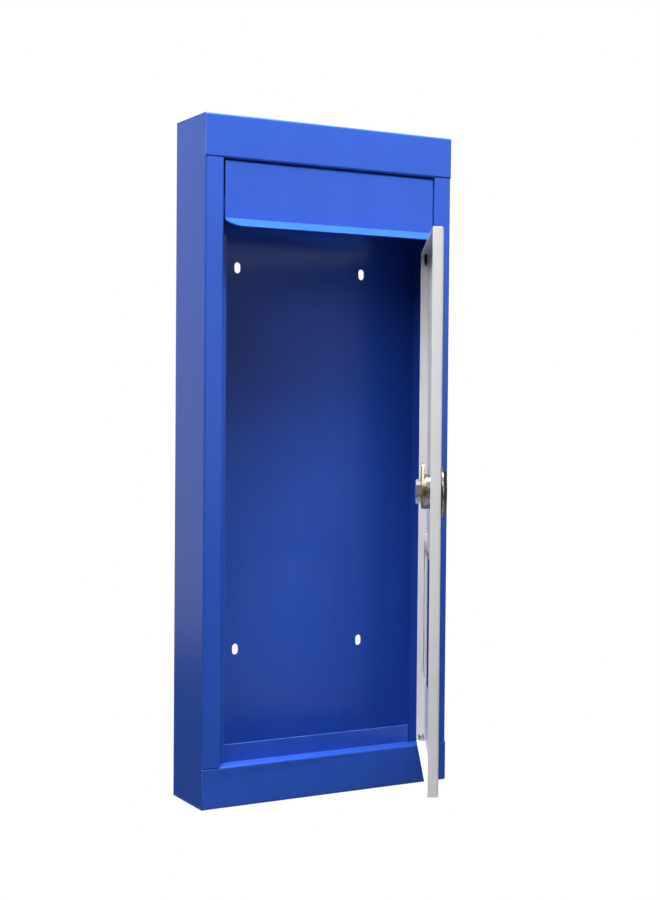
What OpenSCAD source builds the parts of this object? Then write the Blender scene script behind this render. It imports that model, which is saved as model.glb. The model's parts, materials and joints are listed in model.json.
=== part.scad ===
// Slim wall-mounted drop box: folded sheet-steel casing, lift-up posting flap and lockable door.
// Frame: origin at the centre of the back face, +X right, +Y into the wall, +Z up, millimetres.

/* [Casing] */
// Width over the side walls
box_w = 200; // [190:1:230]
// Height over the top and bottom panels
box_h = 480; // [450:1:560]
// Depth from the wall to the front face
box_d = 50; // [48:1:70]
// Thickness of the casing and door sheet
sheet_t = 1; // [0.8:0.1:1.1]
// Outer radius of the folds in the sheet
fold_r = 1.6; // [1.4:0.1:1.8]
// Width of the stile on each side of the door
stile_w = 14; // [12:0.5:18]
// Height of the top rail
top_rail_h = 30; // [26:1:40]
// Height of the bottom rail
bottom_rail_h = 29; // [26:1:40]
// Depth of the stile and top rail returns behind the front face
return_d = 7.5; // [7.5:0.5:9]
// Depth of the bottom shelf behind the front face
shelf_d = 10; // [10:0.5:14]
// Height of the upright door stop above the bottom shelf
stop_h = 13; // [8:1:18]
// Distance of the door stop's right end from the middle
stop_end_x = 73; // [60:1:77]
// How far the latch strip stands out past the left stile
latch_overlap = 5.5; // [4:0.1:5.6]

/* [Wall slots] */
// Distance between the left and right slots
slot_pitch_x = 104; // [60:1:130]
// Distance between the upper and lower slots
slot_pitch_z = 278; // [200:1:300]
// Height of the slot pattern's middle above the box's middle
slot_mid_z = 1; // [-10:1:10]
// Width of a slot
slot_w = 5; // [4.5:0.5:7]
// Length of a slot, end to end
slot_l = 8; // [8:0.5:14]

/* [Door] */
// Angle at which the door stands open
door_angle = 60; // [0:1:105]
// Thickness of the door pan
door_t = 7; // [7:0.5:7.5]
// Gap between the door and the hinge-side stile
hinge_gap = 1.2; // [1.1:0.1:1.6]
// Gap between the door's free edge and the left stile
free_gap = 0.8; // [0.6:0.1:1.5]
// Gap under the door
bottom_gap = 0.8; // [0.7:0.1:1.2]
// Radius of the upper pivot pin
pivot_r = 1.2; // [1:0.1:1.5]
// Radius of the lower pivot rivet's shank
rivet_r = 1.6; // [1.2:0.1:1.8]
// Distance of the pivot axis from the door's hinge edge
pivot_edge = 4; // [3.8:0.1:4.2]
// Distance of the pivot axis behind the door's outer face
pivot_depth = 3.5; // [3.3:0.1:3.7]
// Radial clearance of every turning fit
running_gap = 0.06; // [0.03:0.01:0.1]

/* [Window] */
// Width over the pane's channels
holder_w = 140; // [110:1:146]
// Height of the pane's channels
holder_h = 102; // [80:1:110]
// Height of the channels' middle above the bottom of the box
holder_mid_h = 135.5; // [110:0.5:145]
// How far the pane's top edge lies below the channels' upper ends
pane_drop = 12; // [0:1:16]
// Thickness of the clear pane
pane_t = 2.4; // [2:0.1:2.6]
// Width of each channel's foot on the door skin
foot_w = 5; // [4:0.5:6]
// Width of each channel's lip over the pane
pane_lip = 5; // [4:0.5:6]

/* [Lock] */
// Distance of the lock from the door's free edge
lock_edge = 17; // [17:0.5:30]
// Height of the lock above the bottom of the box
lock_h = 225; // [222:1:300]
// Radius of the rosette on the door's face
rosette_r = 16.8; // [14:0.2:16.8]
// How far the rosette stands proud
rosette_proud = 4; // [3:0.5:5]
// Radius of the threaded barrel
barrel_r = 11.8; // [11.2:0.1:11.8]
// Radius of the turning plug
plug_r = 7.5; // [6.5:0.5:8]
// Distance of the cam's front face behind the door's outer face
cam_depth = 10.2; // [10:0.1:13]
// Thickness of the cam
cam_t = 1.7; // [1.5:0.1:3]
// Radius of the cam's hub
cam_hub_r = 11.2; // [10.5:0.1:11.5]
// Reach of the cam's tip from the lock's axis
cam_reach = 18.5; // [17:0.5:20]
// Size of the cam nut across its flats
cam_nut_af = 14; // [12:0.5:15]
// Thickness of the cam nut
cam_nut_t = 3.9; // [3:0.1:5]

/* [Flap] */
// Distance from the top rail down to the fold of the flap's lip
flap_h = 41.5; // [36:0.5:60]
// Gap at each end of the flap
flap_side_gap = 1.4; // [1:0.1:2]
// How far the flap lies behind the front face
flap_recess = 1; // [0.8:0.1:1.2]
// Length of the lip along its slope
lip_l = 11.5; // [10:0.5:16]
// Slope of the lip below the horizontal
lip_slope = 30; // [20:1:45]
// Inner radius of the fold between the face and the lip
lip_fold_r = 1; // [0.6:0.1:2]
// Radius of the lip's free corners
lip_corner_r = 9; // [4:0.5:9]
// Opening that stays between the lip and the door
posting_gap = 8.4; // [7:0.1:14]
// Radius of the flap's hinge rod
rod_r = 2; // [1.5:0.1:2]

/* [Hidden] */
$fn = 64;

// Overshoot of a cutter past the face that it opens
cut = 1;
// Flat clearance between sheets of different moving pieces
sheet_gap = 0.4;
// Radial clearance of pieces that are fixed to each other
press_play = 0.02;
// Clearance under the shelf for the rivet's head, and between the barrel's end and the cam
end_play = 0.3;

half_w = box_w / 2;
half_h = box_h / 2;
inner_w = half_w - sheet_t;
inner_h = half_h - sheet_t;
front_y = -box_d;
// Half the clear width between the stiles
opening_w = half_w - stile_w;
// Lower edge of the top rail and upper edge of the bottom rail
top_edge_z = half_h - top_rail_h;
shelf_z = -half_h + bottom_rail_h;
return_y = front_y + return_d;
shelf_y = front_y + shelf_d;

// The flap turns on a rod inside the curl along its top edge
curl_gap = 0.5;
curl_r = rod_r + running_gap + sheet_t;
rod_y = front_y + flap_recess + curl_r;
rod_z = top_edge_z - curl_gap - curl_r;
flap_w = 2 * (opening_w - flap_side_gap);
flap_mid_y = front_y + flap_recess + sheet_t / 2;
lip_fold_z = top_edge_z - flap_h;
lip_end_z = lip_fold_z - lip_l * sin(lip_slope);

door_left = -opening_w + free_gap;
door_right = opening_w - hinge_gap;
door_low = shelf_z + bottom_gap;
door_high = lip_end_z - posting_gap;
pivot_x = door_right - pivot_edge;
pivot_y = front_y + pivot_depth;
skin_y = front_y + sheet_t;

// The upper hinge lug lies on the gap above the door
lug_t = 2;
lug_z = door_high + 1;
lug_reach = 9;
lug_depth = 5.4;
lug_leaf_h = 11;
washer_t = 0.6;
washer_r = 3.4;

holder_low = -half_h + holder_mid_h - holder_h / 2;
holder_high = holder_low + holder_h;
// Clear width between the channels' uprights, and the pane's lower and upper edges
pane_w = holder_w - 2 * foot_w - 2 * sheet_t;
pane_low = holder_low + sheet_t;
pane_high = holder_high - pane_drop;
// How far the pane overlaps the opening in the door skin on each side
pane_overlap = 4;
pane_play = 0.2;
aperture_r = 3;

lock_x = door_left + lock_edge;
lock_z = -half_h + lock_h;
barrel_flat = 2 * barrel_r - 1.2;
barrel_end = cam_depth - end_play;
plug_head_r = plug_r + 1.9;
plug_head_t = 2.4;
plug_head_gap = 0.1;
thread_play = 0.05;
plug_square = 8;
plug_stud_r = 3;
cam_tip_r = 4.5;
ring_nut_af = 28;
ring_nut_t = 3.2;

// Unit vector along v
function unit(v) = v / norm(v);
// Vector v turned a quarter turn to the left
function left_of(v) = [-v.y, v.x];
// Signed turn of a path at its corner i, in degrees
function turn_at(path, i) =
    let (a = unit(path[i] - path[i - 1]), b = unit(path[i + 1] - path[i]))
    atan2(cross(a, b), a * b);
// Length of straight run that a fold of centre radius rc takes at corner i
function fold_cut(path, i, rc) =
    i == 0 || i == len(path) - 1 ? 0 : rc * tan(abs(turn_at(path, i)) / 2);

// Part of a ring between two angles that are at most a right angle apart
module arc_band(r_out, r_in, from, to) {
    far = 2 * r_out;
    mid = (from + to) / 2;
    intersection() {
        difference() {
            circle(r_out);
            circle(r_in);
        }
        polygon([[0, 0], for (a = [from, mid, to]) far * [cos(a), sin(a)]]);
    }
}

// Cross-section of a folded sheet: straight runs along the path, with a round fold at each corner
module folded(path, t = sheet_t, r_out = fold_r) {
    rc = r_out - t / 2;
    last = len(path) - 1;
    for (i = [0 : last - 1]) {
        dir = unit(path[i + 1] - path[i]);
        skip = fold_cut(path, i, rc);
        run = norm(path[i + 1] - path[i]) - skip - fold_cut(path, i + 1, rc);
        translate(path[i] + skip * dir)
            rotate(atan2(dir.y, dir.x))
            translate([0, -t / 2])
            square([run, t]);
    }
    for (i = [1 : 1 : last - 1]) {
        dir = unit(path[i] - path[i - 1]);
        turn = turn_at(path, i);
        inward = sign(turn) * left_of(dir);
        start = atan2(-inward.y, -inward.x);
        translate(path[i] - fold_cut(path, i, rc) * dir + rc * inward)
            arc_band(r_out, r_out - t, start, start + turn);
    }
}

// Points on an arc around a centre, from one angle to another
function arc_points(centre, r, from, to, steps = 8) =
    [for (i = [0 : steps]) let (a = from + (to - from) * i / steps) centre + r * [cos(a), sin(a)]];

// Extrude a (Y, Z) outline from x0 to x1
module along_x(x0, x1) {
    translate([x0, 0, 0]) rotate([90, 0, 90]) linear_extrude(x1 - x0) children();
}

// Extrude an (X, Z) outline from y0 to y1
module along_y(y0, y1) {
    translate([0, y1, 0]) rotate([90, 0, 0]) linear_extrude(y1 - y0) children();
}

// Extrude an (X, Y) outline from z0 to z1
module along_z(z0, z1) {
    translate([0, 0, z0]) linear_extrude(z1 - z0) children();
}

// Block between two opposite corners
module slab(low, high) {
    translate(low) cube(high - low);
}

// Rectangle between two corners whose two lower-y corners are round
module front_rounded(low, high, r) {
    translate([low.x, low.y + r]) square([high.x - low.x, high.y - low.y - r]);
    translate([low.x + r, low.y]) square([high.x - low.x - 2 * r, high.y - low.y]);
    for (x = [low.x + r, high.x - r])
        translate([x, low.y + r]) circle(r);
}

// Rectangle between two corners with four round corners
module all_rounded(low, high, r) {
    translate([low.x, low.y + r]) square([high.x - low.x, high.y - low.y - 2 * r]);
    translate([low.x + r, low.y]) square([high.x - low.x - 2 * r, high.y - low.y]);
    for (x = [low.x + r, high.x - r], y = [low.y + r, high.y - r])
        translate([x, y]) circle(r);
}

// Cutter for an upright slot through the back panel
module wall_slot() {
    straight = slot_l - slot_w;
    along_y(-sheet_t - cut, cut) {
        square([slot_w, straight], center = true);
        for (z = [-straight, straight] / 2)
            translate([0, z]) circle(slot_w / 2);
    }
}

// Swing a piece drawn on the closed door out to where the door stands
module on_door() {
    translate([pivot_x, pivot_y, 0]) rotate(door_angle) translate([-pivot_x, -pivot_y, 0]) children();
}

// Lock frame: origin on the door's outer face, local z into the box, local y down
module at_lock() {
    translate([lock_x, front_y, lock_z]) rotate([-90, 0, 0]) children();
}

// Space that the side walls fill beside the caps' folded fronts
module wall_notch(z0, z1) {
    for (x = [-half_w - cut, inner_w])
        slab([x, front_y + sheet_t, z0], [x + sheet_t + cut, cut, z1]);
}

module back_panel() {
    color("royalblue")
    difference() {
        slab([-inner_w, -sheet_t, -inner_h], [inner_w, 0, inner_h]);
        for (x = [-slot_pitch_x, slot_pitch_x] / 2, z = [-slot_pitch_z, slot_pitch_z] / 2)
            translate([x, 0, slot_mid_z + z]) wall_slot();
    }
}

// Side wall with its stile and return, drawn for the left. A slit relieves the wall behind the top
// rail's corner, and the return stops short of the shelf.
module side() {
    slit_y = 3;
    slit_w = 0.8;
    slit_l = 5;
    slit_top = 6;
    foot_gap = 3;
    mid = half_w - sheet_t / 2;
    return_x = opening_w + sheet_t / 2;
    difference() {
        union() {
            along_z(shelf_z, top_edge_z)
                folded([[-mid, 0], [-mid, front_y + sheet_t / 2],
                        [-return_x, front_y + sheet_t / 2], [-return_x, return_y]]);
            slab([-half_w, front_y + sheet_t, -inner_h], [-inner_w, 0, shelf_z]);
            slab([-half_w, front_y + sheet_t, top_edge_z], [-inner_w, 0, inner_h]);
        }
        translate([-opening_w - sheet_t - cut, rod_y, rod_z])
            rotate([0, 90, 0])
            cylinder(r = rod_r + running_gap, h = sheet_t + 2 * cut);
        slab([-half_w - cut, front_y + slit_y, half_h - slit_top - slit_l],
             [-inner_w + cut, front_y + slit_y + slit_w, half_h - slit_top]);
        slab([-opening_w - sheet_t - cut, front_y + fold_r, shelf_z - cut],
             [-opening_w + cut, return_y + cut, shelf_z + foot_gap]);
    }
}

module left_side() {
    color("royalblue") side();
}

module right_side() {
    color("royalblue") mirror([1, 0, 0]) side();
}

module top_cap() {
    mid_z = half_h - sheet_t / 2;
    mid_y = front_y + sheet_t / 2;
    lower_z = top_edge_z + sheet_t / 2;
    color("royalblue")
    difference() {
        along_x(-half_w, half_w)
            folded([[0, mid_z], [mid_y, mid_z], [mid_y, lower_z], [return_y, lower_z]]);
        wall_notch(top_edge_z - cut, inner_h);
    }
}

module bottom_tray() {
    mid_z = -half_h + sheet_t / 2;
    mid_y = front_y + sheet_t / 2;
    shelf_mid = shelf_z - sheet_t / 2;
    stop_y = shelf_y + sheet_t / 2;
    stop_left = -inner_w + 3;
    fold_start = shelf_y + sheet_t - fold_r;
    color("royalblue")
    difference() {
        union() {
            along_x(-half_w, half_w)
                folded([[0, mid_z], [mid_y, mid_z], [mid_y, shelf_mid], [fold_start, shelf_mid]]);
            along_x(stop_left, stop_end_x)
                folded([[fold_start - 0.5, shelf_mid], [stop_y, shelf_mid], [stop_y, shelf_z + stop_h]]);
            slab([-inner_w, fold_start, shelf_z - sheet_t], [stop_left, stop_y + sheet_t / 2, shelf_z]);
            slab([stop_end_x, fold_start, shelf_z - sheet_t], [inner_w, stop_y + sheet_t / 2, shelf_z]);
        }
        wall_notch(-inner_h, shelf_z + cut);
        translate([pivot_x, pivot_y, shelf_z - sheet_t - cut])
            cylinder(r = rivet_r + running_gap, h = sheet_t + 2 * cut);
    }
}

// Angle strip behind the left stile that the cam catches
module latch_strip() {
    leaf_d = 9;
    above_door = 4;
    mid_y = return_y + sheet_t / 2;
    mid_x = -inner_w + sheet_t / 2;
    color("royalblue")
    along_z(shelf_z, door_high + above_door)
        folded([[-opening_w + latch_overlap, mid_y], [mid_x, mid_y], [mid_x, mid_y + leaf_d]]);
}

module upper_hinge_lug() {
    mid_z = lug_z + lug_t / 2;
    leaf_x = opening_w - lug_t / 2;
    lug_bend_r = 0.6;
    color("royalblue")
    difference() {
        along_y(return_y - lug_depth, return_y)
            folded([[opening_w - lug_reach, mid_z], [leaf_x, mid_z], [leaf_x, lug_z + lug_leaf_h]],
                   t = lug_t, r_out = lug_t + lug_bend_r);
        translate([pivot_x, pivot_y, lug_z - cut])
            cylinder(r = pivot_r + running_gap, h = lug_t + 2 * cut);
    }
}

module lower_pivot_washer() {
    color("whitesmoke")
    translate([pivot_x, pivot_y, shelf_z])
    difference() {
        cylinder(r = washer_r, h = washer_t);
        translate([0, 0, -cut]) cylinder(r = rivet_r + running_gap, h = washer_t + 2 * cut);
    }
}

module flap_rod() {
    past_opening = 5;
    reach = opening_w + past_opening;
    color("silver")
    translate([-reach, rod_y, rod_z]) rotate([0, 90, 0]) cylinder(r = rod_r, h = 2 * reach);
}

// Push-on washers behind the two stile returns
module rod_retainers() {
    retainer_t = 1.2;
    retainer_r = rod_r + 0.9;
    gap = 0.3;
    color("dimgray")
    for (x = [opening_w + sheet_t + gap, -opening_w - sheet_t - gap - retainer_t])
        translate([x, rod_y, rod_z]) rotate([0, 90, 0]) difference() {
            cylinder(r = retainer_r, h = retainer_t);
            translate([0, 0, -cut]) cylinder(r = rod_r + press_play, h = retainer_t + 2 * cut);
        }
}

// Small angle behind the flap's end that it closes against, drawn for the left
module flap_stop() {
    tab_h = 12;
    tab_w = 7;
    tab_z = lip_fold_z + 4;
    face_y = flap_mid_y + sheet_t + sheet_gap;
    leaf_x = -opening_w + sheet_t / 2;
    color("royalblue")
    along_z(tab_z, tab_z + tab_h)
        folded([[leaf_x, return_y], [leaf_x, face_y], [leaf_x + tab_w, face_y]]);
}

module flap_stop_left() {
    flap_stop();
}

module flap_stop_right() {
    mirror([1, 0, 0]) flap_stop();
}

// Solid with the door's outline, set in by a margin on the five outer faces
module door_block(inset) {
    r = fold_r - inset;
    y0 = front_y + inset;
    y1 = front_y + door_t + (inset > 0 ? cut : 0);
    intersection() {
        along_z(door_low + inset, door_high - inset)
            front_rounded([door_left + inset, y0], [door_right - inset, y1], r);
        along_x(door_left + inset, door_right - inset)
            mirror([1, -1])
            front_rounded([door_low + inset, y0], [door_high - inset, y1], r);
    }
}

// Round outline with a flat above and below, as the lock's barrel has
module barrel_outline(play) {
    intersection() {
        circle(barrel_r + play);
        square([3 * barrel_r, barrel_flat + 2 * play], center = true);
    }
}

// Pan of the door. Its lower hinge corner is slit where the two flanges meet.
module door_pan() {
    slit = 1.3;
    slit_depth = 2.4;
    barrel_play = 0.15;
    half_a = pane_w / 2 - pane_overlap;
    color("white") on_door()
    difference() {
        door_block(0);
        door_block(sheet_t);
        at_lock() translate([0, 0, -cut]) linear_extrude(sheet_t + 2 * cut) barrel_outline(barrel_play);
        along_y(front_y - cut, skin_y + cut)
            all_rounded([-half_a, pane_low + pane_overlap], [half_a, pane_high - pane_overlap], aperture_r);
        translate([pivot_x, pivot_y, door_high - sheet_t - cut])
            cylinder(r = pivot_r + press_play, h = sheet_t + 2 * cut);
        translate([pivot_x, pivot_y, door_low - cut])
            cylinder(r = rivet_r + press_play, h = sheet_t + 2 * cut);
        slab([door_right - slit, front_y + door_t - slit_depth, door_low - cut],
             [door_right + cut, front_y + door_t + cut, door_low + slit]);
    }
}

// Pin in the door's upper corner, with a long point at its lower end
module upper_pivot_pin() {
    inside = 10;
    point = 3.5;
    point_r = 0.2;
    tip_z = lug_z + lug_t + 1;
    color("dimgray") on_door()
    translate([pivot_x, pivot_y, 0]) {
        translate([0, 0, door_high - inside]) cylinder(r1 = point_r, r2 = pivot_r, h = point);
        translate([0, 0, door_high - inside + point])
            cylinder(r = pivot_r, h = tip_z - door_high + inside - point);
    }
}

// Blind rivet that the door turns on: head under the shelf, bulb inside the pan with its hollow end
module lower_pivot_rivet() {
    head_r = pivot_depth - sheet_t - end_play;
    head_h = 0.9;
    head_edge = 0.5;
    bulb_gap = 0.25;
    bulb_r = pivot_depth - sheet_t - bulb_gap;
    bulb_h = 4.8;
    edge = 0.4;
    hollow_r = 1.2;
    hollow_h = 1.5;
    stem_r = 0.9;
    stem_h = 1.2;
    head_z = shelf_z - sheet_t - end_play;
    bulb_z = door_low + sheet_t;
    color("silver") on_door()
    translate([pivot_x, pivot_y, 0]) {
        translate([0, 0, head_z - head_h]) cylinder(r1 = head_r - head_edge, r2 = head_r, h = head_h);
        translate([0, 0, head_z]) cylinder(r = rivet_r, h = bulb_z - head_z);
        translate([0, 0, bulb_z]) difference() {
            union() {
                cylinder(r1 = bulb_r - edge, r2 = bulb_r, h = edge);
                translate([0, 0, edge]) cylinder(r = bulb_r, h = bulb_h - 2 * edge);
                translate([0, 0, bulb_h - edge]) cylinder(r1 = bulb_r, r2 = bulb_r - edge, h = edge);
            }
            translate([0, 0, bulb_h - hollow_h]) cylinder(r = hollow_r, h = hollow_h + cut);
        }
        translate([0, 0, bulb_z + bulb_h - hollow_h]) cylinder(r = stem_r, h = stem_h);
    }
}

// Cross-section of a pane channel: foot on the skin, upright and lip, reaching from u = 0
module channel_section() {
    fold_inner_r = 0.3;
    foot_mid = sheet_t / 2;
    lip_mid = pane_t + pane_play + sheet_t / 2;
    upright = foot_w + sheet_t / 2;
    folded([[0, foot_mid], [upright, foot_mid], [upright, lip_mid], [upright + pane_lip, lip_mid]],
           r_out = sheet_t + fold_inner_r);
}

// Channel for one side edge of the pane, with a tab that closes its lower end
module pane_channel(mirrored) {
    upright_x = -holder_w / 2 + foot_w;
    color("white") on_door() mirror([mirrored, 0, 0]) {
        along_z(holder_low, holder_high) translate([-holder_w / 2, skin_y]) channel_section();
        slab([upright_x + sheet_t / 2, skin_y, holder_low],
             [upright_x + sheet_t / 2 + pane_lip, skin_y + pane_t + pane_play + sheet_t / 2, pane_low]);
    }
}

module pane_channel_left() {
    pane_channel(0);
}

module pane_channel_right() {
    pane_channel(1);
}

module window_pane() {
    seat_gap = 0.05;
    color("lightcyan", 0.4) on_door()
    slab([-pane_w / 2 + pane_play, skin_y + seat_gap, pane_low + seat_gap],
         [pane_w / 2 - pane_play, skin_y + seat_gap + pane_t, pane_high]);
}

module lock_housing() {
    rim = 1.2;
    chamfer = 3.8;
    face_r = rosette_r - chamfer;
    color("silver") on_door() at_lock()
    difference() {
        union() {
            rotate_extrude()
                polygon([[0, -rosette_proud], [face_r, -rosette_proud], [rosette_r, -rim],
                         [rosette_r, 0], [0, 0]]);
            linear_extrude(barrel_end) barrel_outline(0);
        }
        translate([0, 0, -rosette_proud - cut])
            cylinder(r = plug_head_r + running_gap, h = cut + plug_head_t + plug_head_gap);
        translate([0, 0, -rosette_proud])
            cylinder(r = plug_r + running_gap, h = rosette_proud + barrel_end + cut);
    }
}

module lock_ring_nut() {
    color("silver") on_door() at_lock()
    translate([0, 0, sheet_t])
    difference() {
        rotate(30) cylinder(r = ring_nut_af / 2 / cos(30), h = ring_nut_t, $fn = 6);
        translate([0, 0, -cut]) cylinder(r = barrel_r + thread_play, h = ring_nut_t + 2 * cut);
    }
}

// Turning core with its key slot, squared tail for the cam and stud for the nut
module lock_plug() {
    key_w = 1.4;
    key_l = 8;
    key_depth = 6;
    stud_l = cam_nut_t - 0.4;
    color("gainsboro") on_door() at_lock()
    difference() {
        union() {
            translate([0, 0, -rosette_proud]) cylinder(r = plug_head_r, h = plug_head_t);
            translate([0, 0, -rosette_proud]) cylinder(r = plug_r, h = rosette_proud + cam_depth);
            translate([-plug_square / 2, -plug_square / 2, cam_depth])
                cube([plug_square, plug_square, cam_t]);
            translate([0, 0, cam_depth + cam_t]) cylinder(r = plug_stud_r, h = stud_l);
        }
        translate([-key_w / 2, -key_l / 2, -rosette_proud - cut]) cube([key_w, key_l, cut + key_depth]);
    }
}

// Tapered cam: a round hub and a smaller round tip joined by their common tangents
module lock_cam() {
    tip = cam_reach - cam_tip_r;
    slope = asin((cam_hub_r - cam_tip_r) / tip);
    square_hole = plug_square + 0.1;
    color("goldenrod") on_door() at_lock()
    translate([0, 0, cam_depth])
    linear_extrude(cam_t)
    difference() {
        union() {
            circle(cam_hub_r);
            translate([0, -tip]) circle(cam_tip_r);
            polygon([for (s = [-1, 1], c = s < 0 ? [0, 1] : [1, 0])
                [s * cos(slope) * (c == 0 ? cam_hub_r : cam_tip_r),
                 -sin(slope) * (c == 0 ? cam_hub_r : cam_tip_r) - c * tip]]);
        }
        square(square_hole, center = true);
    }
}

module cam_nut() {
    // Turned a little off upright, as it was tightened
    nut_turn = 97;
    color("silver") on_door() at_lock()
    translate([0, 0, cam_depth + cam_t])
    difference() {
        rotate(nut_turn) cylinder(r = cam_nut_af / 2 / cos(30), h = cam_nut_t, $fn = 6);
        translate([0, 0, -cut]) cylinder(r = plug_stud_r + thread_play, h = cam_nut_t + 2 * cut);
    }
}

// Cutter for one free corner of the lip, with the corner at the origin
module corner_cutter() {
    translate([-lip_corner_r, -lip_corner_r, -sheet_t])
    linear_extrude(2 * sheet_t)
    difference() {
        square(lip_corner_r + cut);
        circle(lip_corner_r);
    }
}

// Flap: rolled hinge curl, flat face and a lip folded outwards with a round free edge
module flap_panel() {
    // Angle at which the curl ends, counted from the back
    curl_end = -80;
    bore_r = rod_r + running_gap;
    rod = [rod_y, rod_z];
    turn = 90 - lip_slope;
    lip_dir = [-cos(lip_slope), -sin(lip_slope)];
    fold = [flap_mid_y, lip_fold_z];
    fold_centre = fold + (lip_fold_r + sheet_t / 2) * [-1, tan(turn / 2)];
    lip_end = fold + (lip_l - sheet_t / 2) * lip_dir;
    color("royalblue")
    difference() {
        along_x(-flap_w / 2, flap_w / 2)
            difference() {
                polygon(concat(
                    arc_points(rod, curl_r, 180, curl_end, 30),
                    [rod, rod - [bore_r, 0]],
                    arc_points(fold_centre, lip_fold_r + sheet_t, 0, -turn),
                    arc_points(lip_end, sheet_t / 2, -turn, -turn - 180),
                    arc_points(fold_centre, lip_fold_r, -turn, 0)
                ));
                translate(rod) circle(bore_r);
            }
        for (side = [0, 1])
            mirror([side, 0, 0])
            translate([flap_w / 2, fold.x, fold.y])
            rotate([180 + lip_slope, 0, 0])
            translate([0, lip_l, 0])
            corner_cutter();
    }
}

back_panel();
left_side();
right_side();
top_cap();
bottom_tray();
latch_strip();
upper_hinge_lug();
lower_pivot_washer();
flap_rod();
rod_retainers();
flap_stop_left();
flap_stop_right();
door_pan();
upper_pivot_pin();
lower_pivot_rivet();
window_pane();
pane_channel_left();
pane_channel_right();
lock_housing();
lock_ring_nut();
lock_plug();
lock_cam();
cam_nut();
flap_panel();
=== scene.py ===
"""Looks, light and camera for the slim wall-mounted drop box. Lengths are in metres, angles in degrees."""

import json
import math

import bmesh
import bpy
from mathutils import Matrix, Vector


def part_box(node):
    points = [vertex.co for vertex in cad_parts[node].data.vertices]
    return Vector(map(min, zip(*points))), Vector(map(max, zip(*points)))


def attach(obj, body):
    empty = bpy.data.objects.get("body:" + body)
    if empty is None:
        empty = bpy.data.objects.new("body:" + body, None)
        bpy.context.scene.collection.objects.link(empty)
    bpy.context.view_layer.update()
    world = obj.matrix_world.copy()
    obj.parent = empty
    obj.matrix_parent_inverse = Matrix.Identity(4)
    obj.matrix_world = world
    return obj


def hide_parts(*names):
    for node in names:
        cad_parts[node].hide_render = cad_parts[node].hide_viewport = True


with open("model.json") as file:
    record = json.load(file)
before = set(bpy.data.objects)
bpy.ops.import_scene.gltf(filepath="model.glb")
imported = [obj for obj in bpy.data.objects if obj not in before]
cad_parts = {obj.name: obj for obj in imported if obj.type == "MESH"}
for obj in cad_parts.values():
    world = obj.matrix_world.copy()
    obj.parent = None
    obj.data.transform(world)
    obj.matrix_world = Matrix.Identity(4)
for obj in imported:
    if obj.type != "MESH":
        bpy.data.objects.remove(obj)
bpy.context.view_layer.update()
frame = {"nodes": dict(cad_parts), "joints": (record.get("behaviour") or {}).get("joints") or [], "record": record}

MM = 0.001

# Camera
CAMERA_PLACE = Vector((-0.5382, -1.0115, 0.0378))
CAMERA_YAW = 29.178
CAMERA_PITCH = 1.516
CAMERA_ROLL = 0.469
CAMERA_LENS = 61.49
SENSOR_LONG_SIDE = 36.0

# Paint and metal colours, linear
ROYAL_BLUE = (0.026, 0.092, 0.49, 1)
ROYAL_BLUE_DEEP = (0.021, 0.078, 0.44, 1)
ROYAL_BLUE_WORN_AND_HIGHLIT = (0.085, 0.19, 0.66, 1)
DOOR_WHITE = (0.80, 0.785, 0.79, 1)
DOOR_WHITE_SOILED = (0.72, 0.70, 0.69, 1)
DOOR_WHITE_WORN_AND_HIGHLIT = (0.88, 0.87, 0.87, 1)
CHROME = (0.72, 0.68, 0.65, 1)
CHROME_DULL = (0.52, 0.46, 0.42, 1)
ZINC = (0.66, 0.68, 0.72, 1)
ZINC_DULL = (0.46, 0.48, 0.52, 1)
YELLOW_ZINC = (0.50, 0.40, 0.25, 1)
YELLOW_ZINC_DULL = (0.30, 0.23, 0.15, 1)
DARK_STEEL = (0.055, 0.055, 0.058, 1)
DARK_STEEL_DULL = (0.03, 0.028, 0.026, 1)
NYLON_LIGHT = (0.78, 0.77, 0.73, 1)
NYLON_DARK = (0.70, 0.69, 0.64, 1)
ACRYLIC = (0.78, 0.82, 0.82, 1)

# Face layer that is 1 on rounded edges: plating is rubbed bright there, and paint is lightened as rubbed wear and
# painted highlight
EDGE_LAYER = "rounded_edge"
# Edges that bend by more than this, in degrees, are rounded and stay crisp in the shading
SHARP_ANGLE = 35.0

# Stage, with lengths in metres
WHITE = (1, 1, 1, 1)
FLOOR_SIZE = 12.0
FLOOR_DROP = 1.1
FLOOR_COLOUR = (0.40, 0.41, 0.42, 1)
# Brightness of the surround low down and high up, and the two heights, as the z of a unit direction
SURROUND_LOW = 0.03
SURROUND_HIGH = 0.08
SURROUND_LOW_Z = -0.5
SURROUND_HIGH_Z = 0.9
SURROUND_COLOUR = (0.95, 0.97, 1, 1)

# Lock, in millimetres: z runs into the door from its outer face
ROSETTE_R = 16.6
ROSETTE_FACE_R = 13.0
ROSETTE_PROUD = 4.0
ROSETTE_RIM_T = 0.7
DARK_RING_T = 0.9
SHEET_T = 1.0
BARREL_R = 11.8
BARREL_FLAT = 22.4
BARREL_END = 9.9
PLUG_HEAD_R = 9.4
PLUG_R = 7.5
PLUG_PLAY = 0.06
THREAD_PITCH = 1.0
THREAD_DEPTH = 0.35
THREAD_PLAY = 0.05
RING_NUT_FLATS = 28.0
RING_NUT_T = 3.2
RING_NUT_TURN = 30.0
CAM_DEPTH = 10.2
CAM_T = 1.7
CAM_NUT_FLATS = 14.0
CAM_NUT_T = 3.9
CAM_NUT_TURN = 97.0
STUD_R = 3.0
# Part of a nut's width that is left at its blunt corners and at its turned-down ends
NUT_BLUNT = 0.985

# Pivots of the door, in millimetres
PIN_R = 1.2
RIVET_R = 1.6
RIVET_TAIL_L = 4.8
WASHER_R = 3.4
WASHER_T = 0.6
WASHER_PLAY = 0.06


# ---- Node helpers -------------------------------------------------------------------------------

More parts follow.
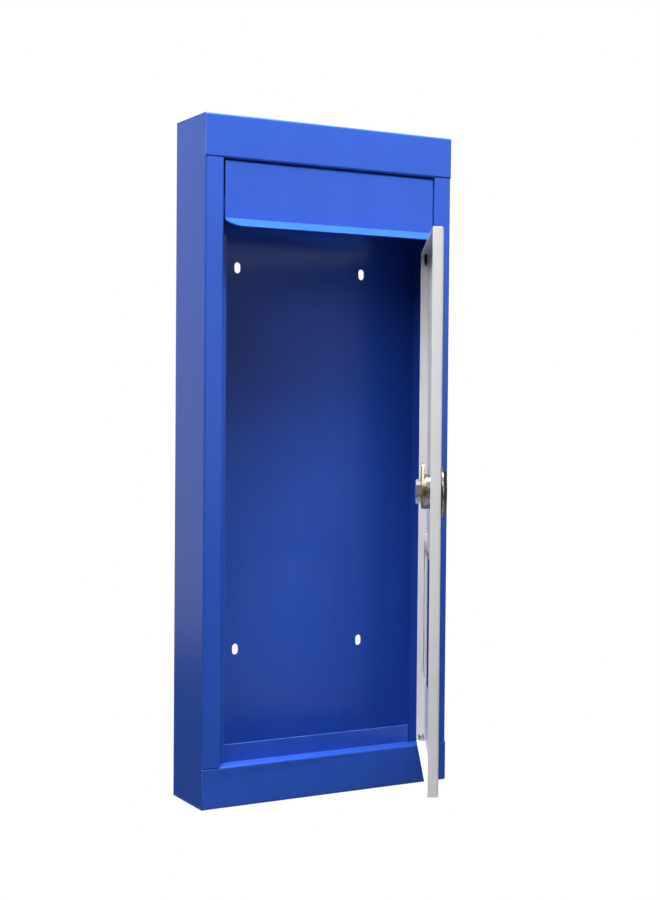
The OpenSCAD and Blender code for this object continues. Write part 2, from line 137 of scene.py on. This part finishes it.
def map_range(tree, value, low, high, to_low, to_high):
    """Output of a node that maps low..high to to_low..to_high."""
    node = tree.nodes.new("ShaderNodeMapRange")
    node.inputs["From Min"].default_value = low
    node.inputs["From Max"].default_value = high
    node.inputs["To Min"].default_value = to_low
    node.inputs["To Max"].default_value = to_high
    tree.links.new(value, node.inputs["Value"])
    return node.outputs["Result"]


class Shader:
    """One Principled material and short calls that add nodes to it."""

    def __init__(self, name):
        self.material = bpy.data.materials.new(name)
        self.material.use_nodes = True
        self.tree = self.material.node_tree
        self.bsdf = self.tree.nodes["Principled BSDF"]
        self.place = self.add("ShaderNodeTexCoord").outputs["Object"]

    def add(self, kind, **settings):
        node = self.tree.nodes.new(kind)
        for key, value in settings.items():
            setattr(node, key, value)
        return node

    def link(self, output, socket):
        self.tree.links.new(output, socket)

    def set(self, **values):
        """Set sockets of the Principled node; an underscore stands for a space in a socket's name."""
        for name, value in values.items():
            self.bsdf.inputs[name.replace("_", " ")].default_value = value

    def stretched(self, scale):
        """Object coordinates with another scale on each axis, for streaks and scratches."""
        mapping = self.add("ShaderNodeMapping")
        mapping.inputs["Scale"].default_value = scale
        self.link(self.place, mapping.inputs["Vector"])
        return mapping.outputs["Vector"]

    def noise(self, scale, detail=2.0, roughness=0.5, distortion=0.0, place=None):
        node = self.add("ShaderNodeTexNoise")
        node.inputs["Scale"].default_value = scale
        node.inputs["Detail"].default_value = detail
        node.inputs["Roughness"].default_value = roughness
        node.inputs["Distortion"].default_value = distortion
        self.link(place or self.place, node.inputs["Vector"])
        return node.outputs["Fac"]

    def spread(self, value, low, high, to_low=0.0, to_high=1.0):
        return map_range(self.tree, value, low, high, to_low, to_high)

    def math(self, operation, a, b):
        node = self.add("ShaderNodeMath", operation=operation)
        for socket, value in zip(node.inputs, (a, b)):
            if isinstance(value, (int, float)):
                socket.default_value = value
            else:
                self.link(value, socket)
        return node.outputs["Value"]

    def mix(self, factor, a, b):
        node = self.add("ShaderNodeMix", data_type="RGBA")
        self.link(factor, node.inputs["Factor"])
        for socket, value in ((node.inputs["A"], a), (node.inputs["B"], b)):
            if isinstance(value, tuple):
                socket.default_value = value
            else:
                self.link(value, socket)
        return node.outputs["Result"]

    def attribute(self, name):
        node = self.add("ShaderNodeAttribute", attribute_type="GEOMETRY", attribute_name=name)
        return node.outputs["Fac"]

    def bump(self, height, strength, distance, normal=None):
        node = self.add("ShaderNodeBump")
        node.inputs["Strength"].default_value = strength
        node.inputs["Distance"].default_value = distance
        self.link(height, node.inputs["Height"])
        if normal:
            self.link(normal, node.inputs["Normal"])
        return node.outputs["Normal"]

    def colour(self, output):
        self.link(output, self.bsdf.inputs["Base Color"])

    def roughness(self, output):
        self.link(output, self.bsdf.inputs["Roughness"])

    def normal(self, output):
        self.link(output, self.bsdf.inputs["Normal"])


# ---- Materials ----------------------------------------------------------------------------------

def blue_paint():
    """Gloss powder coat: faint orange peel, cloudy colour, dull handling marks, and edges painted lighter as
    rubbed wear and painted highlight.
    """
    s = Shader("blue_paint")
    clouds = s.noise(9, 3)
    streaks = s.spread(s.noise(60, 3, 0.5, 0, s.stretched((1, 1, 0.05))), 0.40, 0.62)
    marks = s.spread(s.noise(14, 4, 0.6, 0.4), 0.50, 0.80)
    patches = s.spread(s.noise(90, 4, 0.6), 0.35, 0.60, 0.35, 1.0)
    rubbed_and_highlit = s.math("MULTIPLY", s.attribute(EDGE_LAYER), patches)
    tone = s.math("ADD", s.math("MULTIPLY", clouds, 0.7), s.math("MULTIPLY", streaks, 0.3))
    coat = s.mix(tone, ROYAL_BLUE_DEEP, ROYAL_BLUE)
    # Rounded edges painted lighter: partly rubbed paint, partly a painted highlight along bends and cut edges
    s.colour(s.mix(rubbed_and_highlit, coat, ROYAL_BLUE_WORN_AND_HIGHLIT))
    gloss = s.math("ADD", s.spread(clouds, 0.3, 0.7, 0.20, 0.25), s.math("MULTIPLY", marks, 0.02))
    s.roughness(s.math("ADD", gloss, s.math("MULTIPLY", rubbed_and_highlit, 0.15)))
    s.set(Specular_IOR_Level=0.28)
    s.normal(s.bump(s.noise(430, 1.5), 0.5, 0.04 * MM, s.bump(clouds, 0.06, 3 * MM)))
    return s.material


def white_paint():
    """Satin white powder coat with faint soiling, and edges painted lighter as cleaner rubbed paint and painted
    highlight.
    """
    s = Shader("white_paint")
    soil = s.spread(s.noise(24, 6, 0.62, 0.6), 0.48, 0.80)
    streaks = s.spread(s.noise(110, 3, 0.5, 0, s.stretched((1, 1, 0.04))), 0.42, 0.70)
    patches = s.spread(s.noise(90, 4, 0.6), 0.30, 0.55)
    rubbed_and_highlit = s.math("MULTIPLY", s.attribute(EDGE_LAYER), patches)
    dirt = s.math("MAXIMUM", soil, s.math("MULTIPLY", streaks, 0.5))
    coat = s.mix(dirt, DOOR_WHITE, DOOR_WHITE_SOILED)
    # Rounded edges painted lighter: partly cleaner rubbed paint, partly a painted highlight
    s.colour(s.mix(rubbed_and_highlit, coat, DOOR_WHITE_WORN_AND_HIGHLIT))
    s.roughness(s.spread(soil, 0, 1, 0.34, 0.48))
    s.normal(s.bump(s.noise(480, 1.5), 0.4, 0.03 * MM))
    return s.material


def plated(name, tint, rough, dull_tint):
    """Plated metal: cloudy tint, fine scratches one way, smudges that dull it and bright rubbed edges."""
    s = Shader(name)
    clouds = s.spread(s.noise(260, 4, 0.6, 0.8), 0.38, 0.66)
    scratches = s.noise(2600, 2, 0.5, 0, s.stretched((1, 1, 0.06)))
    edge = s.math("MULTIPLY", s.attribute(EDGE_LAYER), 0.6)
    s.colour(s.mix(s.math("SUBTRACT", clouds, edge), tint, dull_tint))
    smudged = s.spread(clouds, 0, 1, rough, rough + 0.16)
    s.roughness(s.math("ADD", smudged, s.spread(scratches, 0.4, 0.7, 0, 0.08)))
    s.normal(s.bump(scratches, 0.2, 0.01 * MM, s.bump(clouds, 0.25, 0.12 * MM)))
    s.set(Metallic=1.0)
    return s.material


def clear_acrylic():
    """Clear sheet with hairline scratches."""
    s = Shader("clear_acrylic")
    scratches = s.spread(s.noise(900, 3, 0.6, 0, s.stretched((1, 1, 0.04))), 0.62, 0.75)
    s.roughness(s.spread(scratches, 0, 1, 0.03, 0.18))
    s.normal(s.bump(scratches, 0.1, 0.01 * MM))
    s.set(Base_Color=ACRYLIC, Transmission_Weight=1.0, IOR=1.49)
    return s.material


def nylon():
    """Off-white moulded nylon with a fine grain."""
    s = Shader("nylon")
    grain = s.noise(1500, 3)
    s.colour(s.mix(grain, NYLON_DARK, NYLON_LIGHT))
    s.roughness(s.spread(grain, 0, 1, 0.42, 0.58))
    s.normal(s.bump(grain, 0.2, 0.02 * MM))
    return s.material


MATERIALS = {
    "blue_paint": blue_paint(),
    "white_paint": white_paint(),
    "lock_chrome": plated("lock_chrome", CHROME, 0.14, CHROME_DULL),
    "zinc_steel": plated("zinc_steel", ZINC, 0.26, ZINC_DULL),
    "yellow_zinc": plated("yellow_zinc", YELLOW_ZINC, 0.28, YELLOW_ZINC_DULL),
    "dark_steel": plated("dark_steel", DARK_STEEL, 0.38, DARK_STEEL_DULL),
    "clear_acrylic": clear_acrylic(),
    "nylon": nylon(),
}
SLOTS = {part["node"]: part["material_slot"] for part in frame["record"]["subparts"]}
BODIES = frame["record"]["behaviour"]["bodies"]
BODY_OF = {node: body for body, nodes in BODIES.items() for node in nodes}
JOINTS = {joint["name"]: joint for joint in frame["joints"]}


# ---- Pieces -------------------------------------------------------------------------------------

def finish_piece(name, bm, body, slot, replaced=()):
    """Turn a bmesh into a smooth-shaded piece that rides on a body."""
    bmesh.ops.recalc_face_normals(bm, faces=bm.faces)
    mesh = bpy.data.meshes.new(name)
    bm.to_mesh(mesh)
    bm.free()
    mesh.shade_smooth()
    mesh.set_sharp_from_angle(angle=math.radians(SHARP_ANGLE))
    mesh.materials.append(MATERIALS[slot])
    piece = bpy.data.objects.new(name, mesh)
    bpy.context.scene.collection.objects.link(piece)
    shading = piece.modifiers.new("weighted_normals", "WEIGHTED_NORMAL")
    shading.keep_sharp = True
    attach(piece, body)
    if replaced:
        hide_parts(*replaced)
    return piece


def welded_copy(node):
    """Closed bmesh of a CAD node, with its flat faces whole again."""
    source = frame["nodes"][node].data
    faces = [tuple(polygon.vertices) for polygon in source.polygons]
    plain = bpy.data.meshes.new(node + "_plain")
    plain.from_pydata([vertex.co for vertex in source.vertices], [], faces)
    bm = bmesh.new()
    bm.from_mesh(plain)
    bpy.data.meshes.remove(plain)
    bmesh.ops.remove_doubles(bm, verts=bm.verts, dist=0.001 * MM)
    bmesh.ops.dissolve_limit(bm, angle_limit=math.radians(0.5), verts=bm.verts, edges=bm.edges)
    return bm


def soften_edges(bm, width, shortest):
    """Round the sharp edges that are long enough, and mark the new faces, which the materials lighten as rubbed
    wear, on the paints also as painted highlight.
    """
    def is_sharp(edge):
        bend = edge.calc_face_angle(0)
        return edge.is_manifold and edge.calc_length() > shortest and bend > math.radians(SHARP_ANGLE)

    layer = bm.faces.layers.float.new(EDGE_LAYER)
    edges = [edge for edge in bm.edges if is_sharp(edge)]
    rounded = bmesh.ops.bevel(bm, geom=edges, offset=width, offset_type="OFFSET", segments=2,
                              profile=0.5, affect="EDGES", clamp_overlap=False)
    for face in rounded["faces"]:
        face[layer] = 1.0


def softened(node, width=0.22, shortest=2.0):
    """Piece with a CAD node's shape and rounded edges; width and shortest are in millimetres."""
    bm = welded_copy(node)
    soften_edges(bm, width * MM, shortest * MM)
    return finish_piece(node + "_finished", bm, BODY_OF[node], SLOTS[node], (node,))


def skin(rings, closed=False):
    """Bmesh through a stack of rings of equal length; closed joins the last ring to the first."""
    bm = bmesh.new()
    rows = [[bm.verts.new(point) for point in ring] for ring in rings]
    count = len(rings[0])
    pairs = list(zip(rows, rows[1:])) + ([(rows[-1], rows[0])] if closed else [])
    for low, high in pairs:
        for i in range(count):
            j = (i + 1) % count
            bm.faces.new((low[i], low[j], high[j], high[i]))
    if not closed:
        bm.faces.new(rows[0])
        bm.faces.new(rows[-1])
    return bm


def ring(radius, z, count=96):
    """Points around the local axis; radius is a number or a function of the angle in degrees."""
    points = []
    for i in range(count):
        turn = 360.0 * i / count
        r = radius(turn) if callable(radius) else radius
        across, along = math.cos(math.radians(turn)), math.sin(math.radians(turn))
        points.append(Vector((r * across, r * along, z)) * MM)
    return points


def rounded_profile(corners, r=0.15):
    """Cut every corner of a closed (radius, z) profile into a small round of two steps."""
    points = []
    neighbours = zip(corners[-1:] + corners[:-1], corners, corners[1:] + corners[:1])
    for before, corner, after in neighbours:
        here = Vector(corner)
        arms = [(Vector(other) - here) for other in (before, after)]
        reach = min(r, 0.45 * arms[0].length, 0.45 * arms[1].length)
        start, end = (here + arm.normalized() * reach for arm in arms)
        points += [start, (start + 2 * here + end) / 4, end]
    return points


def lathed(corners, r=0.15, count=96):
    """Closed ring-shaped solid from a (radius, z) profile with softened corners."""
    return skin([ring(p.x, p.y, count) for p in rounded_profile(corners, r)], closed=True)


def hexagon(flats, turn):
    """Radius of a hexagon as a function of the angle, its corners a little blunt."""
    corner = flats / 2 / math.cos(math.radians(30))

    def radius(angle):
        off = (angle - turn + 30) % 60 - 30
        return min(flats / 2 / math.cos(math.radians(30 - abs(off))), NUT_BLUNT * corner)

    return radius


def chamfered_nut(flats, turn, thickness, bore, start):
    """Hexagon nut that begins at start, turned down at both ends, with a countersunk bore."""
    outline = hexagon(flats, turn)
    steps = 7
    chamfer = 0.11 * flats / 2
    slope = 1.9
    sink = 0.35

    def turned(depth):
        return lambda angle: min(outline(angle), flats / 2 * NUT_BLUNT + slope * depth)

    depths = [chamfer * i / (steps - 1) for i in range(steps)]
    rings = [ring(turned(depth), start + depth) for depth in depths]
    rings += [ring(turned(depth), start + thickness - depth) for depth in reversed(depths)]
    rings += [ring(bore + sink, start + thickness), ring(bore, start + thickness - sink),
              ring(bore, start + sink), ring(bore + sink, start)]
    return skin(rings, closed=True)


def threaded_barrel():
    """Barrel with a fine thread, cut away above and below by its flats."""
    steps_per_turn = 6
    run_out = 0.5
    run_out_depth = 0.4
    crest_r = BARREL_R - 0.02
    rings = [ring(PLUG_R + PLUG_PLAY, 0)]
    levels = int(BARREL_END / THREAD_PITCH * steps_per_turn)
    for level in range(levels + 1):
        z = BARREL_END * level / levels
        full = min(1.0, z / run_out, (BARREL_END - z) / run_out)

        def radius(angle, z=z, full=full):
            phase = (z / THREAD_PITCH - angle / 360) % 1
            r = crest_r - THREAD_DEPTH * abs(2 * phase - 1) - run_out_depth * (1 - full)
            height = abs(math.sin(math.radians(angle)))
            return min(r, BARREL_FLAT / 2 / height) if height > 0.1 else r

        rings.append(ring(radius, z))
    rings.append(ring(PLUG_R + PLUG_PLAY, BARREL_END))
    return skin(rings, closed=True)


def lock_frame():
    """Matrix of the lock's own frame: x across the door, y down, z into the door."""
    joint = JOINTS["lock_turn"]
    inward = -Vector(joint["axis"]).normalized()
    down = Vector((0, 0, -1))
    across = down.cross(inward)
    turn = Matrix((across, down, inward)).transposed().to_4x4()
    return Matrix.Translation(Vector(joint["pos_m"])) @ turn


LOCK = lock_frame()


def node_ends(node):
    """Heights of a node's lower and upper end, in millimetres."""
    low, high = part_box(node)
    return low.z / MM, high.z / MM


def upright_piece(node, bm, slot):
    """Piece on the door's pivot line; its bmesh stands on height 0, at the node's lower end."""
    bottom, _ = node_ends(node)
    pivot = Vector(JOINTS["door_hinge"]["pos_m"])
    bm.transform(Matrix.Translation((pivot.x, pivot.y, bottom * MM)))
    return finish_piece(node + "_turned", bm, BODY_OF[node], slot, (node,))


def turned_down(node, profile):
    """Bmesh of a solid of revolution; profile gives (radius, z) points for the node's height."""
    bottom, top = node_ends(node)
    return skin([ring(radius, z, 48) for radius, z in profile(top - bottom)])


def pin_profile(height):
    """Pointed pin with one groove near its middle and a chamfered top."""
    groove_r = PIN_R - 0.12
    return [(0.2, 0), (0.55, 1.2), (0.95, 2.6), (PIN_R, 3.5), (PIN_R, 4.2), (groove_r, 4.35),
            (groove_r, 4.6), (PIN_R, 4.75), (PIN_R, height - 0.4), (PIN_R - 0.3, height)]


def rivet_profile(height):
    """Domed head, shank, bulb with a rolled end, and the broken stem sunk in it."""
    bulb = height - RIVET_TAIL_L
    head = [(1.6, 0), (1.95, 0.15), (2.18, 0.5), (2.15, 0.88), (RIVET_R, 0.9), (RIVET_R, bulb)]
    swell = [(1.85, 0.05), (2.2, 0.6), (2.25, 1.6), (2.15, 3.4), (1.9, 4.3), (1.6, 4.7),
             (1.35, RIVET_TAIL_L), (1.2, 4.6), (1.15, 3.5)]
    stem = [(0.9, 3.4), (0.85, 4.3), (0.5, 4.5)]
    return head + [(radius, bulb + z) for radius, z in swell + stem]


def make_pivots():
    """The upper pin, the blind rivet below and the washer under the door."""
    for node, profile, slot in (("upper_pivot_pin", pin_profile, "dark_steel"),
                                ("lower_pivot_rivet", rivet_profile, "zinc_steel")):
        upright_piece(node, turned_down(node, profile), slot)
    hole_r = RIVET_R + WASHER_PLAY
    section = [(hole_r, 0), (WASHER_R, 0), (WASHER_R, WASHER_T), (hole_r, WASHER_T)]
    upright_piece("lower_pivot_washer", lathed(section, 0.12, 48), "nylon")


def lock_piece(name, bm, body, slot, *replaced):
    """Piece whose bmesh is in the lock's own frame."""
    bm.transform(LOCK)
    return finish_piece(name, bm, body, slot, replaced)


def make_lock():
    """Rosette on a dark ring, threaded barrel, ring nut, plug, cam and nut."""
    inner = PLUG_HEAD_R + PLUG_PLAY
    back = -DARK_RING_T
    rosette = [(inner, -ROSETTE_PROUD), (ROSETTE_FACE_R, -ROSETTE_PROUD),
               (ROSETTE_R, back - ROSETTE_RIM_T), (ROSETTE_R, back), (inner, back)]
    lock_piece("lock_rosette", lathed(rosette, 0.3), "door", "lock_chrome", "lock_housing")
    # Dark ring filling the gap between the rosette and the door
    dark_ring_r = ROSETTE_R - 0.5
    dark_ring = [(BARREL_R, back), (dark_ring_r, back), (dark_ring_r, 0), (BARREL_R, 0)]
    lock_piece("lock_dark_ring", lathed(dark_ring, 0.1), "door", "dark_steel")
    lock_piece("lock_barrel", threaded_barrel(), "door", "lock_chrome")
    ring_nut = chamfered_nut(RING_NUT_FLATS, RING_NUT_TURN, RING_NUT_T, BARREL_R + THREAD_PLAY, SHEET_T)
    lock_piece("lock_ring_nut_chamfered", ring_nut, "door", "zinc_steel", "lock_ring_nut")
    softened("lock_plug", 0.15, 0.7)
    softened("lock_cam", 0.15, 0.4)
    cam_nut = chamfered_nut(CAM_NUT_FLATS, CAM_NUT_TURN, CAM_NUT_T, STUD_R + THREAD_PLAY, CAM_DEPTH + CAM_T)
    lock_piece("cam_nut_chamfered", cam_nut, "lock", "zinc_steel", "cam_nut")


# Nodes of bent or cut sheet that only need their edges rounded
SHEET_PIECES = ("back_panel", "left_side", "right_side", "top_cap", "bottom_tray", "latch_strip",
                "upper_hinge_lug", "flap_stop_left", "flap_stop_right", "flap_panel", "door_pan",
                "pane_channel_left", "pane_channel_right", "window_pane")


def dress_cad_nodes():
    """Give every CAD node that still shows the material of its slot in the record."""
    for node, slot in SLOTS.items():
        mesh = frame["nodes"][node].data
        mesh.materials.clear()
        mesh.materials.append(MATERIALS[slot])


# ---- Stage, light and camera --------------------------------------------------------------------

def by_ray(tree, others, camera_shader):
    """Mix of two shaders: one for camera rays and one for all other rays."""
    path = tree.nodes.new("ShaderNodeLightPath")
    mix = tree.nodes.new("ShaderNodeMixShader")
    tree.links.new(path.outputs["Is Camera Ray"], mix.inputs["Fac"])
    tree.links.new(others, mix.inputs[1])
    tree.links.new(camera_shader, mix.inputs[2])
    return mix.outputs["Shader"]


def make_floor():
    """Pale floor well below the box: it shows white, and throws little light back."""
    bpy.ops.mesh.primitive_plane_add(size=FLOOR_SIZE, location=(0, 0, -FLOOR_DROP))
    floor = bpy.context.object
    floor.name = "floor"
    s = Shader("floor")
    s.set(Base_Color=FLOOR_COLOUR, Roughness=0.9)
    lit = s.add("ShaderNodeEmission")
    lit.inputs["Color"].default_value = WHITE
    lit.inputs["Strength"].default_value = 1.0
    surface = by_ray(s.tree, s.bsdf.outputs["BSDF"], lit.outputs["Emission"])
    s.link(surface, s.tree.nodes["Material Output"].inputs["Surface"])
    floor.data.materials.append(s.material)


def make_world():
    """White to the camera; to every other ray a dim surround that is brighter above than below."""
    world = bpy.data.worlds.new("studio")
    bpy.context.scene.world = world
    world.use_nodes = True
    tree = world.node_tree
    seen = tree.nodes["Background"]
    seen.inputs["Color"].default_value = WHITE
    seen.inputs["Strength"].default_value = 1.0
    place = tree.nodes.new("ShaderNodeTexCoord")
    split = tree.nodes.new("ShaderNodeSeparateXYZ")
    tree.links.new(place.outputs["Generated"], split.inputs["Vector"])
    rise = map_range(tree, split.outputs["Z"], SURROUND_LOW_Z, SURROUND_HIGH_Z,
                     SURROUND_LOW, SURROUND_HIGH)
    surround = tree.nodes.new("ShaderNodeBackground")
    surround.inputs["Color"].default_value = SURROUND_COLOUR
    tree.links.new(rise, surround.inputs["Strength"])
    surface = by_ray(tree, surround.outputs["Background"], seen.outputs["Background"])
    tree.links.new(surface, tree.nodes["World Output"].inputs["Surface"])


def add_softbox(name, place, target, size, watts, lights_matt=True, mirrored=True):
    """Rectangular lamp hidden from the camera; it lights matt surfaces, shows in glossy ones, or both."""
    light = bpy.data.lights.new(name, "AREA")
    light.shape = "RECTANGLE"
    light.size, light.size_y = size
    light.energy = watts
    lamp = bpy.data.objects.new(name, light)
    bpy.context.scene.collection.objects.link(lamp)
    lamp.location = place
    lamp.rotation_mode = "QUATERNION"
    lamp.rotation_quaternion = (Vector(target) - Vector(place)).to_track_quat("-Z", "Y")
    lamp.visible_camera = False
    lamp.visible_diffuse = lights_matt
    lamp.visible_glossy = mirrored


def make_lights():
    """Key almost overhead, two weak lights from the left, two for sheen only and one through the window."""
    middle = (0, -0.03, 0)
    add_softbox("key", (-0.12, -0.24, 1.15), (-0.02, -0.03, 0), (0.9, 0.4), 52)
    add_softbox("fill", (-0.30, -0.55, 1.48), middle, (0.6, 0.6), 6)
    add_softbox("left", (-1.14, -0.69, 0.92), middle, (0.6, 0.6), 8)
    add_softbox("sheen_right", (1.1, -2.3, 0.36), (0, 0, 0), (2.2, 1.1), 9, lights_matt=False)
    add_softbox("sheen_left", (-1.1, 2.2, 0.35), (0, 0, 0), (2.0, 1.75), 8, lights_matt=False)
    add_softbox("window", (1.36, -2.1, -0.05), (0, 0, -0.1), (0.12, 0.12), 8, mirrored=False)


def make_camera():
    """Camera a little left of the box, about level with its middle."""
    data = bpy.data.cameras.new("camera")
    data.sensor_width = SENSOR_LONG_SIDE
    data.lens = CAMERA_LENS
    data.clip_start = 0.01
    camera = bpy.data.objects.new("camera", data)
    bpy.context.scene.collection.objects.link(camera)
    turn = (Matrix.Rotation(math.radians(-CAMERA_YAW), 4, "Z")
            @ Matrix.Rotation(math.radians(90 - CAMERA_PITCH), 4, "X")
            @ Matrix.Rotation(math.radians(CAMERA_ROLL), 4, "Z"))
    camera.matrix_world = Matrix.Translation(CAMERA_PLACE) @ turn
    bpy.context.scene.camera = camera


make_camera()
dress_cad_nodes()
for sheet_piece in SHEET_PIECES:
    softened(sheet_piece)
make_lock()
make_pivots()
make_floor()
make_world()
make_lights()
bpy.context.scene.view_settings.view_transform = "Standard"
